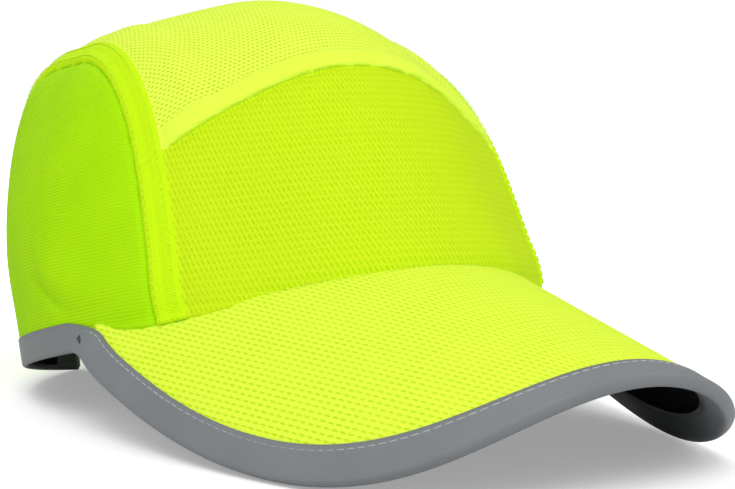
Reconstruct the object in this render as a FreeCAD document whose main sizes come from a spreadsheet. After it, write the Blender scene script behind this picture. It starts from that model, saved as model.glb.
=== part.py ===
"""Bump cap: a cloth sports cap with a visor, a bound edge and a rear strap, over a removable hard shell."""
import FreeCAD, Part
import math
import os

Vector = FreeCAD.Vector
Rotation = FreeCAD.Rotation
Placement = FreeCAD.Placement

# Driving dimensions in millimetres, angles in degrees, and exponents as plain numbers.
# The model is drawn in the hem's frame: the hem lies in the plane Z = 0 and the front is -Y.
SIZES = (
    ("half_width", 78.8, "crown, middle to side at the hem"),
    ("front_reach", 79.4, "crown, middle to front at the hem, before the flare"),
    ("rear_reach", 95.8, "crown, middle to rear at the hem"),
    ("crown_height", 107.8, "hem to top"),
    ("front_pinch", 0.07, "share by which the outline draws in between front and side"),
    ("rear_round", 2.12, "exponent of the rear half of the hem's outline"),
    ("top_front", 2.1, "exponent of the roll from front to top"),
    ("top_side", 1.85, "exponent of the roll from side to top"),
    ("top_rear", 3.5, "exponent of the roll from rear to top"),
    ("wall_rise", 3.4, "exponent that keeps the walls upright"),
    ("crown_lean", 0.177, "rearward lean of the crown for each unit of height"),
    ("front_flare", 9, "how far the front's lower edge stands forward"),
    ("flare_height", 55, "height over which the flare fades"),
    ("crown_tilt", 12.6, "angle of the hem's plane to the table, front up"),
    ("cloth_thick", 1.2, "knitted crown cloth"),
    ("ply_gap", 0.1, "air between plies that are sewn together"),
    ("side_seam", 61.7, "middle to side seam"),
    ("side_seam_slope", 0.097, "inward run of the side seam towards the rear"),
    ("side_seam_draw", 0.057, "inward run of the side seam with height"),
    ("front_seam_angle", 47.3, "tilt of the front seam's plane"),
    ("front_seam_height", 13.2, "where the front seam's plane meets the middle line"),
    ("tape_width", 12, "seam tape"),
    ("tape_thick", 0.5, "seam tape"),
    ("binding_thick", 0.6, "edge binding"),
    ("hem_cover", 6.8, "height of the binding on the crown's hem"),
    ("visor_cover", 9.5, "width of the binding on the visor"),
    ("visor_seat", 11.2, "height of the visor's root above the hem's plane"),
    ("visor_pitch", 24.4, "slope of the visor below the hem's plane"),
    ("visor_length", 85.9, "root to tip"),
    ("visor_half_width", 93.4, "middle to edge along the curved surface"),
    ("visor_widest", 37.4, "widest station behind the root"),
    ("visor_tail", 58, "end of the visor behind the root"),
    ("visor_tuck", 3.4, "how far the visor's edge turns in at its tail"),
    ("visor_round", 2.36, "exponent of the visor's outline"),
    ("visor_radius", 86.7, "arch of the visor at its root"),
    ("visor_taper", 0.369, "loss of radius for each unit of length"),
    ("visor_cloth", 0.8, "visor cover cloth"),
    ("board_thick", 1.8, "visor board"),
    ("board_inset", 0.8, "board edge inside the covers' edge"),
    ("band_thick", 2.5, "padded sweatband"),
    ("band_height", 34, "sweatband"),
    ("band_gap", 52, "middle to each end of the sweatband at the rear"),
    ("arch_half_width", 34, "rear opening"),
    ("arch_height", 42, "rear opening"),
    ("arch_cover", 7, "width of the binding around the rear opening"),
    ("strap_width", 20, "webbing"),
    ("strap_thick", 1.2, "webbing"),
    ("strap_low", 7.5, "hem to the strap's lower edge"),
    ("strap_anchor", 50, "middle to each sewn end of the strap"),
    ("buckle_place", 13, "middle to the buckle's centre"),
    ("buckle_length", 20, "buckle along the strap"),
    ("buckle_wall", 2, "side walls of the buckle"),
    ("buckle_rise", 4.2, "height of the buckle's walls over the strap's middle"),
    ("buckle_floor", 1, "plate behind the strap"),
    ("strap_play", 0.4, "strap edge to buckle wall"),
    ("lever_play", 0.3, "lever edge to buckle wall"),
    ("lever_thick", 1.6, "lever plate"),
    ("lever_tip", 3, "lever beyond the buckle's end"),
    ("pin_radius", 0.8, "lever pin"),
    ("pin_play", 0.05, "radial running clearance of the lever on its pin"),
    ("cam_radius", 2, "lever barrel around the pin"),
    ("bar_radius", 1, "bar that carries the short webbing"),
    ("insert_gap", 0.5, "hard shell to sweatband"),
    ("shell_thick", 2, "hard shell"),
    ("shell_low", 40, "hem to the hard shell's rim"),
    ("vent_width", 6, "vent slot"),
    ("vent_length", 56, "vent slot"),
    ("vent_pitch", 19, "spacing of the vent slots"),
    ("pad_thick", 4, "foam pads"),
    ("pad_height", 20, "foam rim pads"),
    ("pad_length", 70, "foam rim pads"),
    ("crown_pad_radius", 27, "foam crown pad"),
    ("dot_radius", 9, "hook and loop dots"),
    ("hook_thick", 1.6, "hook side"),
    ("loop_thick", 1.7, "loop side"),
    ("dot_side", 31, "middle to dot"),
    ("dot_front", 6, "crown middle to the front dots"),
    ("dot_rear", 52, "crown middle to the rear dots"),
)

# How finely curves are drawn, and how far construction solids reach past the part.
SECTION_POINTS = 20
CROWN_STEPS = 11
BELOW_HEM = 12
VOID_STEP = 4
FAR = 400
FAN_MARGIN = 25
TIP_ANGLE = 3
OUTLINE_ANGLES = (76, 62, 49, 38, 29, 21, 14, 8, TIP_ANGLE)

doc = FreeCAD.newDocument("bump_cap")
sheet = doc.addObject("Spreadsheet::Sheet", "sizes")
for row, (alias, amount, meaning) in enumerate(SIZES, 1):
    sheet.set("A%d" % row, alias)
    sheet.set("B%d" % row, str(amount))
    sheet.set("C%d" % row, meaning)
    sheet.setAlias("B%d" % row, alias)
doc.recompute()


def size(alias):
    return float(sheet.get(alias))


# Insets of the plies from the crown's outer surface, outermost first.
CLOTH_IN = size("cloth_thick")
TAPE_OUT = CLOTH_IN + size("ply_gap")
TAPE_IN = TAPE_OUT + size("tape_thick")
HEM_OUT = -size("binding_thick")
HEM_IN = CLOTH_IN + size("binding_thick")
BAND_OUT = max(HEM_IN, TAPE_IN) + size("ply_gap")
BAND_IN = BAND_OUT + size("band_thick")
STRAP_OUT = BAND_OUT
STRAP_IN = STRAP_OUT + size("strap_thick")
SHELL_OUT = BAND_IN + size("insert_gap")
SHELL_IN = SHELL_OUT + size("shell_thick")
PAD_OUT = SHELL_IN + size("ply_gap")
PAD_IN = PAD_OUT + size("pad_thick")
LOOP_IN = SHELL_OUT - size("ply_gap")
LOOP_OUT = LOOP_IN - size("loop_thick")
HOOK_IN = min(TAPE_OUT + size("hook_thick"), LOOP_OUT - size("ply_gap"))

# Depths of the visor's plies below its top surface.
COVER_LOW = size("visor_cloth")
BOARD_TOP = COVER_LOW + size("ply_gap")
BOARD_LOW = BOARD_TOP + size("board_thick")
UNDER_TOP = BOARD_LOW + size("ply_gap")
VISOR_LOW = UNDER_TOP + size("visor_cloth")


def crown_point(turn, height, inset):
    """Point of the crown's surface; turn is 0 at the front and grows towards the wearer's left."""
    ahead = math.cos(turn)
    aside = abs(math.sin(turn))
    front = ahead > 0
    reach = size("front_reach" if front else "rear_reach") - inset
    power = 2 if front else size("rear_round")
    roll = size("top_front" if front else "top_rear")
    spread = ((aside / (size("half_width") - inset)) ** power + (abs(ahead) / reach) ** power) ** (1 / power)
    roll = size("top_side") + (roll - size("top_side")) * ahead ** 2
    risen = max(height, 0) / (size("crown_height") - inset)
    level = (1 - risen ** size("wall_rise")) ** (1 / roll)
    flare = 1
    if front:
        level *= 1 - size("front_pinch") * math.sin(2 * turn) ** 2
        fade = max(0, 1 - height / size("flare_height"))
        flare += size("front_flare") / size("front_reach") * ahead ** 2 * fade ** 2
    out = level * flare / spread
    return Vector(out * math.sin(turn), size("crown_lean") * height - out * ahead, height)


def crown_section(height, inset):
    """Closed smooth wire around the crown at one height."""
    turns = [2 * math.pi * step / SECTION_POINTS for step in range(SECTION_POINTS)]
    curve = Part.BSplineCurve()
    curve.interpolate([crown_point(turn, height, inset) for turn in turns], PeriodicFlag=True)
    return Part.Wire(curve.toShape())


def crown_body(inset, below=BELOW_HEM):
    """Solid inside the crown's surface moved in by an inset, with its base below the hem's plane."""
    top = size("crown_height") - inset
    heights = [-below, 0]
    for step in range(1, CROWN_STEPS + 1):
        quarter = math.pi / 2 * (step if step < CROWN_STEPS else CROWN_STEPS - 0.5) / CROWN_STEPS
        heights.append(top * math.sin(quarter) ** (2 / size("wall_rise")))
    return Part.makeLoft([crown_section(height, inset) for height in heights], True, False)


def visor_frame():
    """Frame at the visor's root: X across, -Y forward along the visor, Z square to it."""
    root = crown_point(0, size("visor_seat"), 0)
    return Placement(root, Rotation(Vector(1, 0, 0), size("visor_pitch")))


def visor_radius_at(ahead):
    return size("visor_radius") - size("visor_taper") * ahead


def visor_body(depth):
    """Tapered barrel under the visor's top surface, lowered by a depth."""
    hoops = []
    for ahead in (-size("visor_tail"), size("visor_length") + FAN_MARGIN / 2):
        radius = visor_radius_at(ahead)
        hoop = Part.Circle(Vector(0, -ahead, -radius), Vector(0, 1, 0), radius - depth)
        hoops.append(Part.Wire(hoop.toShape()))
    body = Part.makeLoft(hoops, True, True)
    body.Placement = visor_frame()
    return body


def visor_fan(inset):
    """Solid with walls square to the visor's sheet along its outline, moved in by an inset."""
    across = size("visor_half_width") - inset
    tail = size("visor_tail")
    widest = size("visor_widest")
    stations = [(-tail - 1, across - size("visor_tuck")), (-(tail + widest) / 2, across - size("visor_tuck") * 0.3)]
    stations.append((-widest - 1, across))
    stretch = size("visor_length") - inset + widest
    for angle in OUTLINE_ANGLES:
        power = 2 / size("visor_round")
        ahead = stretch * math.cos(math.radians(angle)) ** power - widest
        stations.append((ahead, across * math.sin(math.radians(angle)) ** power))
    kites = []
    for ahead, arc in stations:
        radius = visor_radius_at(ahead)
        half = arc / radius
        reach = radius + FAN_MARGIN
        corners = [
            Vector(0, -ahead, -radius),
            Vector(reach * math.sin(half), -ahead, reach * math.cos(half) - radius),
            Vector(0, -ahead, reach - radius),
            Vector(-reach * math.sin(half), -ahead, reach * math.cos(half) - radius),
        ]
        kites.append(Part.makePolygon(corners + corners[:1]))
    fan = Part.makeLoft(kites, True, False)
    fan.Placement = visor_frame()
    return fan


def shaped(name, shape):
    """Free-form solid as an object of the document."""
    feature = doc.addObject("Part::Feature", name)
    feature.Shape = shape
    return feature


def ply(name, outer, inner):
    """Thin solid between two insets of the crown, closed below the hem."""
    skin = crown_body(outer).Shells[0]
    void = crown_body(inner, BELOW_HEM - VOID_STEP).Shells[0]
    return shaped(name, Part.makeSolid(Part.makeCompound([skin, void.reversed()])))


def cut(name, base, *tools):
    """Base less each tool in turn; the last Part::Cut bears the name."""
    for count, tool in enumerate(tools, 1):
        result = doc.addObject("Part::Cut", name if count == len(tools) else name + "_stage")
        result.Base = base
        result.Tool = tool
        result.Refine = False
        base = result
    return result


def common(name, *shapes):
    result = doc.addObject("Part::MultiCommon", name)
    result.Shapes = list(shapes)
    result.Refine = False
    return result


def fuse(name, *shapes):
    result = doc.addObject("Part::MultiFuse", name)
    result.Shapes = list(shapes)
    result.Refine = False
    return result


def at(x, y, z):
    return Placement(Vector(x, y, z), Rotation())


def box(name, length, width, height, place=Placement()):
    """Block sized by sheet expressions; the place is the middle of its lower face."""
    solid = doc.addObject("Part::Box", name)
    solid.setExpression("Length", length)
    solid.setExpression("Width", width)
    solid.setExpression("Height", height)
    solid.recompute()
    solid.Placement = place.multiply(at(-solid.Length.Value / 2, -solid.Width.Value / 2, 0))
    return solid


def cylinder(name, radius, height, place=Placement()):
    """Cylinder sized by sheet expressions, standing on the place."""
    solid = doc.addObject("Part::Cylinder", name)
    solid.setExpression("Radius", radius)
    solid.setExpression("Height", height)
    solid.Placement = place
    return solid


def half_space(name, point, outward):
    """Large block on the outward side of a plane through a point."""
    return box(name, str(FAR), str(FAR), str(FAR), Placement(point, Rotation(Vector(0, 0, 1), outward)))


def above(name, height):
    return half_space(name, Vector(0, 0, height), Vector(0, 0, 1))


def side_space(name, side, shift=0):
    """Room beyond a side seam, with the seam's plane moved outwards by a shift."""
    square = Vector(side, size("side_seam_slope"), size("side_seam_draw"))
    return half_space(name, Vector(side * (size("side_seam") + shift * square.Length), 0, 0), square)


def front_space(name, shift=0):
    """Room ahead of the front seam, with the seam's plane moved forwards by a shift."""
    angle = math.radians(size("front_seam_angle"))
    square = Vector(0, -math.sin(angle), -math.cos(angle))
    return half_space(name, Vector(0, 0, size("front_seam_height")) + square * shift, square)


def arch(name, grown):
    """Room of the rear opening, grown by a sheet expression on every side."""
    centre = size("arch_height") - size("arch_half_width")
    radius = "sizes.arch_half_width + " + grown
    lying = Placement(Vector(0, 0, centre), Rotation(Vector(1, 0, 0), -90))
    round_top = cylinder(name + "_top", radius, str(FAR), lying)
    foot = box(name + "_foot", "2 * (" + radius + ")", str(FAR), str(FAR), at(0, FAR / 2, centre - FAR))
    return fuse(name, round_top, foot)


pieces = []


def piece(node):
    """Marks a finished sub-part; its label names its file."""
    node.Label = node.Name
    pieces.append(node)
    return node


SIDES = (("right", -1), ("left", 1))

# Crown cloth: one trimmed ply, split along the seams.
over_hem = above("over_hem", 0)
under_visor = shaped("under_visor", visor_body(0))
cloth_ply = ply("cloth_ply", 0, CLOTH_IN)
cloth = cut("cloth", common("cloth_over_hem", cloth_ply, over_hem), under_visor)
beside = {name: side_space("beside_" + name, side) for name, side in SIDES}
ahead_of_seam = front_space("ahead_of_seam")
rear_arch = arch("rear_arch", "0")
middle_cloth = cut("middle_cloth", cloth, *beside.values())
front_panel = piece(common("front_panel", middle_cloth, ahead_of_seam))
top_panel = piece(cut("top_panel", middle_cloth, ahead_of_seam, rear_arch))
for name, side in SIDES:
    piece(common("side_panel_" + name, cloth, beside[name]))

# Seam tapes inside the crown, each centred on its seam.
half_tape = size("tape_width") / 2
tape_ply = ply("tape_ply", TAPE_OUT, TAPE_IN)
over_binding = above("over_binding", size("hem_cover") + size("ply_gap"))
tape_blank = cut("tape_blank", common("tape_over_binding", tape_ply, over_binding), under_visor)
inner_edges = {}
for name, side in SIDES:
    inner_edges[name] = side_space("inner_edge_" + name, side, -half_tape)
    outer_edge = side_space("outer_edge_" + name, side, half_tape)
    strip = cut("side_strip_" + name, tape_blank, outer_edge)
    piece(common("side_seam_tape_" + name, strip, inner_edges[name]))
front_strip = common("front_strip", tape_blank, front_space("tape_rear_edge", -half_tape))
piece(cut("front_seam_tape", front_strip, front_space("tape_front_edge", half_tape), *inner_edges.values()))

# Visor: a board between two cloth covers, curved as one tapered barrel.
visor_depths = {"0": under_visor}
for depth in (COVER_LOW, BOARD_TOP, BOARD_LOW, UNDER_TOP, VISOR_LOW):
    visor_depths[str(depth)] = shaped("visor_depth", visor_body(depth))
visor_outline = shaped("visor_outline", visor_fan(0))
board_outline = shaped("board_outline", visor_fan(size("board_inset")))
head_side = shaped("head_side", crown_body(BAND_OUT - size("ply_gap")))


def visor_ply(name, top, low, outline):
    sheet_body = cut(name + "_sheet", visor_depths[str(top)], visor_depths[str(low)])
    return cut(name, common(name + "_outlined", sheet_body, outline), head_side)


piece(visor_ply("visor_top_cover", 0, COVER_LOW, visor_outline))
piece(visor_ply("visor_board", BOARD_TOP, BOARD_LOW, board_outline))
piece(visor_ply("visor_under_cover", UNDER_TOP, VISOR_LOW, visor_outline))

# Edge binding: a folded tape around the visor's edge that meets the tape on the crown's hem.
fold = size("binding_thick")
stack_sheet = cut("stack_sheet", under_visor, visor_depths[str(VISOR_LOW)])
stack = common("stack", stack_sheet, visor_outline)
fold_sheet = cut("fold_sheet", shaped("fold_top", visor_body(-fold)), shaped("fold_low", visor_body(VISOR_LOW + fold)))
fold_outlined = common("fold_outlined", fold_sheet, shaped("fold_outline", visor_fan(-fold)))
crown_outside = shaped("crown_outside", crown_body(0))
fold_inner = shaped("fold_inner", visor_fan(size("visor_cover")))
piece(cut("visor_binding", fold_outlined, fold_inner, stack, crown_outside))
hem_ply = ply("hem_ply", HEM_OUT, HEM_IN)
hem_slab = box("hem_slab", str(FAR), str(FAR), "sizes.hem_cover + sizes.binding_thick", at(0, 0, -fold))
tail_end = visor_frame().multVec(Vector(0, size("visor_tail"), 0))
behind_visor = half_space("behind_visor", tail_end, visor_frame().Rotation.multVec(Vector(0, 1, 0)))
hem_fold = cut("hem_fold", common("hem_strip", hem_ply, hem_slab, behind_visor), cloth, rear_arch)
for name, side in SIDES:
    half = half_space("hem_half_" + name, Vector(), Vector(side, 0, 0))
    piece(common("hem_binding_" + name, hem_fold, half))

# Binding of the rear opening: strips outside and inside the cloth, joined by a lip along its edge.
arch_inner = arch("arch_inner", "-sizes.binding_thick")
arch_cover = cut("arch_cover", arch("arch_outer", "sizes.arch_cover"), rear_arch)
play = size("ply_gap") / 2
outer_strip = common("arch_outer_strip", ply("arch_outer_ply", HEM_OUT, -play), arch_cover, over_binding)
inner_strip = common("arch_inner_strip", ply("arch_inner_ply", CLOTH_IN + play, HEM_IN), arch_cover, over_binding)
arch_lip = common("arch_lip", hem_ply, cut("arch_edge", rear_arch, arch_inner), over_binding)
piece(fuse("rear_arch_binding", outer_strip, inner_strip, arch_lip))

# Sweatband inside the hem, open at the rear.
band_ply = ply("band_ply", BAND_OUT, BAND_IN)
band_slab = box("band_slab", str(FAR), str(FAR), "sizes.band_height", at(0, 0, 0))
rear_room = box("rear_room", "2 * sizes.band_gap", str(FAR), str(FAR), at(0, FAR / 2, -BELOW_HEM))
piece(cut("sweatband", common("band", band_ply, band_slab), visor_depths[str(VISOR_LOW)], rear_room))


def rear_line(across, inset):
    """How far back the crown's rear stands at a distance from the middle."""
    power = size("rear_round")
    return (size("rear_reach") - inset) * (1 - (across / (size("half_width") - inset)) ** power) ** (1 / power)


# Rear strap and cam buckle. In the buckle's frame X runs along the strap to the wearer's right and Z outwards.
strap_middle = (STRAP_OUT + STRAP_IN) / 2
strap_height = size("strap_low") + size("strap_width") / 2
half_buckle = size("buckle_length") / 2
buckle_x = size("buckle_place")
ends = [rear_line(buckle_x + offset, strap_middle) for offset in (-half_buckle, 0, half_buckle)]
sag = ends[1] - (ends[0] + ends[2]) / 2
along = Vector(-size("buckle_length"), ends[0] - ends[2], 0).normalize()
outward = along.cross(Vector(0, size("crown_lean"), 1)).normalize()
buckle_centre = Vector(buckle_x, ends[1] + size("crown_lean") * strap_height, strap_height)
buckle = Placement(buckle_centre, Rotation(along, outward.cross(along), outward, "XZY"))
across_strap = Placement(Vector(), Rotation(Vector(1, 0, 0), -90))


def in_buckle(x, y, z):
    return buckle.multiply(at(x, y, z))


def rod(name, radius, x, z, half_length, length):
    """Cylinder across the strap, centred on it."""
    return cylinder(name, radius, length, in_buckle(x, -half_length, z).multiply(across_strap))


half_inside = size("strap_width") / 2 + size("strap_play")
half_outside = half_inside + size("buckle_wall")
outside = "sizes.strap_width + 2 * (sizes.strap_play + sizes.buckle_wall)"
floor_top = -size("strap_thick") / 2 - sag - size("ply_gap")
floor_low = floor_top - size("buckle_floor")
pin_x = half_buckle * 0.4
pin_z = size("strap_thick") / 2 + size("lever_play") + size("cam_radius")
bar_x = -half_buckle + 1.5 * size("bar_radius")
floor_x = half_buckle / 4
floor_plate = box("buckle_floor_plate", "0.75 * sizes.buckle_length", outside, "sizes.buckle_floor",
                  in_buckle(floor_x, 0, floor_low))
wall_rise = str(-floor_low) + " + sizes.buckle_rise"
walls = [box("buckle_wall_%d" % side, "sizes.buckle_length", "sizes.buckle_wall", wall_rise,
             in_buckle(0, side * (half_inside + size("buckle_wall") / 2), floor_low)) for side in (-1, 1)]
half_bar = half_inside + size("buckle_wall") / 2
bar = rod("buckle_bar", "sizes.bar_radius", bar_x, -sag, half_bar, str(2 * half_bar))
pin_hole = rod("pin_hole", "sizes.pin_radius", pin_x, pin_z, half_outside, outside)
piece(cut("buckle_frame", fuse("buckle_blank", floor_plate, bar, *walls), pin_hole))
piece(rod("lever_pin", "sizes.pin_radius", pin_x, pin_z, half_outside, outside))

lever_width = "sizes.strap_width + 2 * (sizes.strap_play - sizes.lever_play)"
half_lever = half_inside - size("lever_play")
barrel = rod("lever_barrel", "sizes.cam_radius", pin_x, pin_z, half_lever, lever_width)
lever_end = -half_buckle - size("lever_tip")
plate = box("lever_plate", str(pin_x - lever_end), lever_width, "sizes.lever_thick",
            in_buckle((pin_x + lever_end) / 2, 0, pin_z + size("cam_radius") - size("lever_thick")))
pin_bore = rod("pin_bore", "sizes.pin_radius + sizes.pin_play", pin_x, pin_z, half_outside, outside)
piece(cut("buckle_lever", fuse("lever_blank", barrel, plate), pin_bore))

strap_ply = ply("strap_ply", STRAP_OUT, STRAP_IN)


def strap_cut(name, start, end):
    """Length of webbing between two distances from the middle."""
    width = str(end - start)
    window = box(name + "_window", width, str(FAR), "sizes.strap_width",
                 at((start + end) / 2, FAR / 2, size("strap_low")))
    return common(name, strap_ply, window)


piece(strap_cut("strap_long", -size("strap_anchor"), buckle_x + half_buckle / 2))
bar_place = in_buckle(bar_x, 0, -sag).Base.x
web = strap_cut("strap_web", bar_place, size("strap_anchor"))
sleeve = rod("strap_sleeve", "sizes.bar_radius + sizes.strap_thick", bar_x, -sag,
             size("strap_width") / 2, "sizes.strap_width")
sleeve_bore = rod("sleeve_bore", "sizes.bar_radius + sizes.pin_play", bar_x, -sag, half_outside, outside)
piece(cut("strap_loop", fuse("strap_loop_blank", web, sleeve), sleeve_bore))

# Removable insert: a vented hard shell, its foam pads and the dots that hold it.
shell_ply = ply("shell_ply", SHELL_OUT, SHELL_IN)
shell_dome = common("shell_dome", shell_ply, above("over_rim", size("shell_low")))
top_shift = size("crown_lean") * size("crown_height")
vents = [box("vent_%d" % index, "sizes.vent_width", "sizes.vent_length", str(FAR),
             at((index - 1) * size("vent_pitch"), top_shift, size("shell_low"))) for index in range(3)]
piece(cut("bump_shell", shell_dome, *vents))
pad_ply = ply("pad_ply", PAD_OUT, PAD_IN)
pad_column = cylinder("pad_column", "sizes.crown_pad_radius", str(FAR), at(0, top_shift, size("shell_low")))
piece(common("crown_pad", pad_ply, pad_column))
pad_low = size("shell_low") + size("ply_gap")
pad_middle = size("crown_lean") * (pad_low + size("pad_height") / 2)
half_far = FAR / 2
RIM_PADS = (
    ("front_pad", "sizes.pad_length", str(FAR), at(0, -half_far, pad_low)),
    ("rear_pad", "sizes.pad_length", str(FAR), at(0, half_far, pad_low)),
    ("side_pad_right", str(FAR), "sizes.pad_length", at(-half_far, pad_middle, pad_low)),
    ("side_pad_left", str(FAR), "sizes.pad_length", at(half_far, pad_middle, pad_low)),
)
for name, length, width, place in RIM_PADS:
    piece(common(name, pad_ply, box(name + "_window", length, width, "sizes.pad_height", place)))

dots = fuse("dot_columns", *[
    cylinder("dot_column", "sizes.dot_radius", str(FAR), at(side * size("dot_side"), place, size("shell_low")))
    for side in (-1, 1) for place in (-size("dot_front"), size("dot_rear"))
])
piece(common("hook_dots", ply("hook_ply", TAPE_OUT, HOOK_IN), dots))
piece(common("loop_dots", ply("loop_ply", LOOP_OUT, LOOP_IN), dots))

doc.recompute()

# The finished cap is tilted as it stands and set down with its box centred over the origin.
tilt = Placement(Vector(), Rotation(Vector(1, 0, 0), -size("crown_tilt")))
standing = [tilt.multVec(point) for node in pieces for point in node.Shape.tessellate(0.1)[0]]
front_end = min(point.y for point in standing)
rear_end = max(point.y for point in standing)
floor_level = min(point.z for point in standing)
stance = at(0, -(front_end + rear_end) / 2, -floor_level).multiply(tilt)
for node in pieces:
    node.Placement = stance.multiply(node.Placement)
doc.recompute()

broken = [node.Name for node in doc.Objects if {"Invalid", "Error"} & set(node.State)]
broken += [node.Name for node in pieces if node.Shape.isNull() or not node.Shape.isValid()]
if broken:
    raise RuntimeError("failed: " + ", ".join(broken))

os.makedirs("parts", exist_ok=True)
for node in pieces:
    node.Shape.exportStep("parts/%s.step" % node.Label)
    print(node.Label, len(node.Shape.Solids), "solids", round(node.Shape.Volume, 1), "mm3")
print("stance", stance.Base, "buckle", stance.multiply(buckle).Base)
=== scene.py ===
"""Bump cap: cloth crown, visor, bound edge, rear strap and removable hard shell, dressed over its frame."""

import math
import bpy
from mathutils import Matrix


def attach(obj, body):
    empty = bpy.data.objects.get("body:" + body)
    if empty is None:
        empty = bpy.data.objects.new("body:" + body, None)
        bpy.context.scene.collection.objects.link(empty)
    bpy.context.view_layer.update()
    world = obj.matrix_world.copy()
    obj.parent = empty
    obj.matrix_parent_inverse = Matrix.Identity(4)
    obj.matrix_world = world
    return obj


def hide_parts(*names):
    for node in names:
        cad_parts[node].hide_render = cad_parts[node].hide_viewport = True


bl_info = {
    "name": "Bump Cap",
    "version": (1, 0, 0),
    "blender": (4, 5, 0),
    "location": "View3D > Sidebar > Bump Cap",
    "description": "Builds a high-visibility bump cap around its construction model",
    "category": "Object",
}

import bmesh
import bpy
from mathutils import Matrix, Vector

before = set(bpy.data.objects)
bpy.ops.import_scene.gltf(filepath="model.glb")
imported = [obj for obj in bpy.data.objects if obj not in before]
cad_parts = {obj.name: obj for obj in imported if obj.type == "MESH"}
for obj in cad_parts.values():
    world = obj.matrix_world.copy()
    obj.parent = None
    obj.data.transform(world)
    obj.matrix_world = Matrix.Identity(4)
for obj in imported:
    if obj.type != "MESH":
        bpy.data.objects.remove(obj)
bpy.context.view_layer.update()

MM = 0.001
SIDES = (-1, 1)

# The picture's camera, in pixels and millimetres.
PICTURE_WIDTH = 735
FOCAL_PIXELS = 1763.1
SENSOR = 36.0
CAMERA_PLACE = Vector((-278.44, -443.27, 95.01))
CAMERA_AHEAD = Vector((0.5450, 0.8342, -0.0845))
CAMERA_UP = Vector((0.0321, 0.0799, 0.9963))

# Lights: name, place in metres, size in metres and power in watts. The sky is a share of full white.
LAMPS = (
    ("key", (-0.55, -0.75, 0.95), 0.7, 9.5),
    ("fill", (0.85, -0.55, 0.6), 0.9, 2.6),
    ("back", (0.1, 0.9, 0.9), 0.8, 3.2),
)
LAMP_AIM = Vector((0, 0, 0.05))
SKY_LIGHT = 0.46

# Half the table's width in metres, its own glow, and where it starts to turn plain white and over
# what distance, in millimetres.
TABLE_REACH = 6
TABLE_GLOW = 0.32
TABLE_FADE = (150, 350)

# The cap's stance over the table, in millimetres and degrees.
CAP_TILT = 12.6
CAP_SEAT = Vector((0, 24.602, 19.901))

# Middle of the crown, from which its seams are followed.
CROWN_MIDDLE = Vector((0, 8, 30))
CROWN_ROWS = 84
CROWN_COLUMNS = 236

# Radii in millimetres that turn angles into lengths on the cloth's map.
BAND_RADIUS = 85
TOP_RADIUS = 92
FRONT_RADIUS = 80
SIDE_RADIUS = 86
FRONT_STRETCH = 1.2

# Distances of the stitch lines from the side seam, and their swing from front to back in radians.
STITCH_SHIFTS = (-1.3, -5.2)
STITCH_SWING = (-2.05, 1.9)

# Insets of the inner plies from the crown's outer surface, and their lower and upper edges.
BAND_OUT = 1.9
BAND_IN = 4.4
BAND_SWELL = 0.5
BAND_BOTTOM = 0.6
BAND_TOP = 34
BAND_DROP = 4.2
PAD_OUT = 7.05
PAD_IN = 10.9
PAD_LOW = 40.3
PAD_HIGH = 59.8
CROWN_PAD_RADIUS = 26.5

# Depth of the visor's underside, the covers' thickness and inset, and how far the tape lies over them.
VISOR_LOW = 3.05
COVER_THICK = 0.7
LINING_THICK = 0.25
COVER_INSET = 0.4
SKIN = 0.15

# Where the visor's covers and tape end, as turns of the crown and shares of the outline.
VISOR_ROOT_TURN = 1.3
COVER_END = 0.955
TAPE_END = 0.93
HEM_START = 1.46

# Halvings in each search for a point of a surface.
SEARCH_STEPS = 30


def length(name, default, description):
    """Size of the cap in millimetres."""
    return bpy.props.FloatProperty(name=name, default=default, min=0, subtype="UNSIGNED",
                                   description=description)


def ratio(name, default, description):
    """Ratio or exponent."""
    return bpy.props.FloatProperty(name=name, default=default, min=0, description=description)


def degrees(name, default, description):
    """Angle, given and shown in degrees."""
    return bpy.props.FloatProperty(name=name, default=math.radians(default), subtype="ANGLE",
                                   description=description)


def shade(name, colour, description):
    """Colour of a cloth or plastic."""
    return bpy.props.FloatVectorProperty(name=name, default=colour, size=3, subtype="COLOR", min=0, max=1,
                                         description=description)


class CrownSizes(bpy.types.PropertyGroup):
    half_width: length("Half width", 78.8, "Middle to side at the hem")
    front_reach: length("Front reach", 79.4, "Middle to front at the hem")
    rear_reach: length("Rear reach", 95.8, "Middle to rear at the hem")
    height: length("Height", 107.8, "Hem to top")
    lean: ratio("Lean", 0.177, "Rearward lean for each unit of height")
    front_pinch: ratio("Front pinch", 0.07, "How far the outline draws in between front and side")
    rear_round: ratio("Rear round", 2.12, "Exponent of the rear outline")
    front_flare: length("Front flare", 9, "How far the front's lower edge stands forward")
    flare_height: length("Flare height", 55, "Height over which the flare fades")
    top_side: ratio("Side roll", 1.85, "Exponent of the top's roll at the sides")
    top_front: ratio("Front roll", 2.1, "Exponent of the top's roll at the front")
    top_rear: ratio("Rear roll", 3.5, "Exponent of the top's roll at the rear")
    wall_rise: ratio("Wall rise", 3.4, "How long the walls stay upright")
    side_seam: length("Side seam", 61.7, "Middle to side seam")
    seam_slope: ratio("Seam slope", 0.097, "How far the side seam draws in towards the rear")
    seam_draw: ratio("Seam draw", 0.057, "How far the side seam draws in towards the top")
    front_seam: length("Front seam", 13.2, "Where the front seam's plane meets the middle line")
    front_angle: degrees("Front seam's angle", 47.3, "Lean of the front seam's plane")
    band_width: length("Seam band", 6.5, "Width of the folded band beside a side seam")
    arch_half_width: length("Arch half width", 34, "Rear opening")
    arch_height: length("Arch height", 42, "Rear opening")
    band_gap: length("Sweatband gap", 52, "Half width of the sweatband's gap at the rear")
    fold_width: length("Front fold", 6.2, "Width of the plain fold above the front seam")
    cloth: length("Cloth", 1.0, "Thickness of the crown's cloth")
    tuck: length("Tuck", 1.8, "How far the crown's cloth runs into the visor's seam")


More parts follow.
